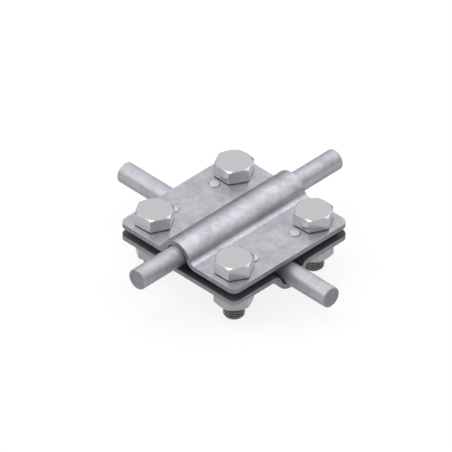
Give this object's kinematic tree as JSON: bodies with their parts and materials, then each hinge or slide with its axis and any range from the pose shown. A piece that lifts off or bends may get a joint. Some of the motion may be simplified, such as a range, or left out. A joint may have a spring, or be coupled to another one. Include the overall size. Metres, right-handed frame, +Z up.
{
  "type": "cross clamp block",
  "caption": "Square grooved plates of pressed steel, bolted together over crossed round rods, to join the rods at right angles.",
  "frame": {"origin": "middle of the bolt pattern, in the plane of the bolt tips on which the clamp stands", "axes": "+Z up from the nuts to the bolt heads, +Y along the upper rod, +X along the lower rod"},
  "size_m": [0.104, 0.1, 0.0264],
  "materials": {
    "galvanised_plate": "hot-dip galvanised, matt with soft clouds",
    "galvanised_rod": "hot-dip galvanised, satin with faint rings",
    "zinc_plated_bolt": "zinc plated, smooth satin",
    "zinc_plated_nut": "zinc plated, smooth satin"
  },
  "bodies": {
    "root": {"upper_plate": "galvanised_plate", "lower_plate": "galvanised_plate", "upper_rod": "galvanised_rod", "lower_rod": "galvanised_rod", "bolt_front": "zinc_plated_bolt", "bolt_right": "zinc_plated_bolt", "bolt_back": "zinc_plated_bolt", "bolt_left": "zinc_plated_bolt", "nut_front": "zinc_plated_nut", "nut_right": "zinc_plated_nut", "nut_back": "zinc_plated_nut", "nut_left": "zinc_plated_nut"}
  },
  "joints": []
}
